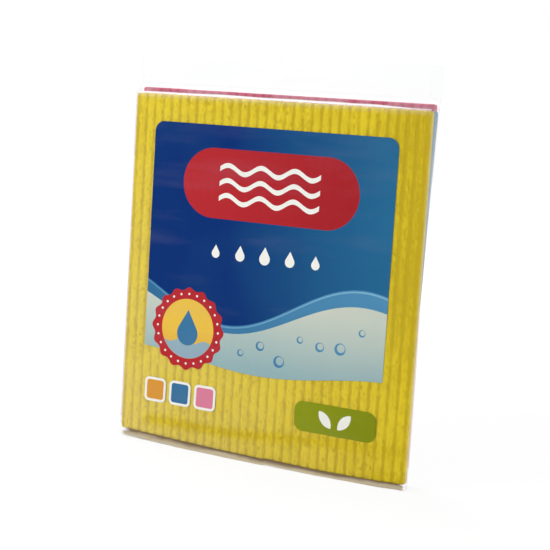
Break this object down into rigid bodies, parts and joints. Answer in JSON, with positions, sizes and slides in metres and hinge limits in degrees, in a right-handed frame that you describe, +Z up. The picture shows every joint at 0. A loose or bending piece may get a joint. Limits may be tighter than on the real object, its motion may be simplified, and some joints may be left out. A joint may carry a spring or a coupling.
{
  "type": "sponge cloth pack",
  "caption": "Slim upright retail pack of ribbed cellulose sponge cloths, yellow in front with blue and pink behind, in glossy clear film with plain printed fields and a flat clear header",
  "frame": {"origin": "middle of the pack's bottom face, on the surface that it stands on", "axes": "+Z up along the pack's height, X along its width, front face towards -Y"},
  "size_m": [0.1916, 0.0172, 0.2298],
  "materials": {
    "sponge_yellow": "open-pored ribbed cellulose sponge, matt",
    "sponge_blue": "open-pored ribbed cellulose sponge, matt",
    "sponge_pink": "open-pored ribbed cellulose sponge, matt",
    "clear_film": "thin clear glossy wrapping film",
    "ink_navy": "printed film, glossy",
    "ink_blue": "printed film, glossy",
    "ink_aqua": "printed film, glossy, slightly see-through",
    "ink_red": "printed film, glossy",
    "ink_green": "printed film, glossy",
    "ink_white": "printed film, glossy",
    "ink_yellow": "printed film, glossy",
    "ink_rose": "printed film, glossy"
  },
  "bodies": {
    "root": {"cloth_yellow": "sponge_yellow", "cloth_blue": "sponge_blue", "cloth_pink": "sponge_pink", "film_wrap": "clear_film"}
  },
  "joints": []
}
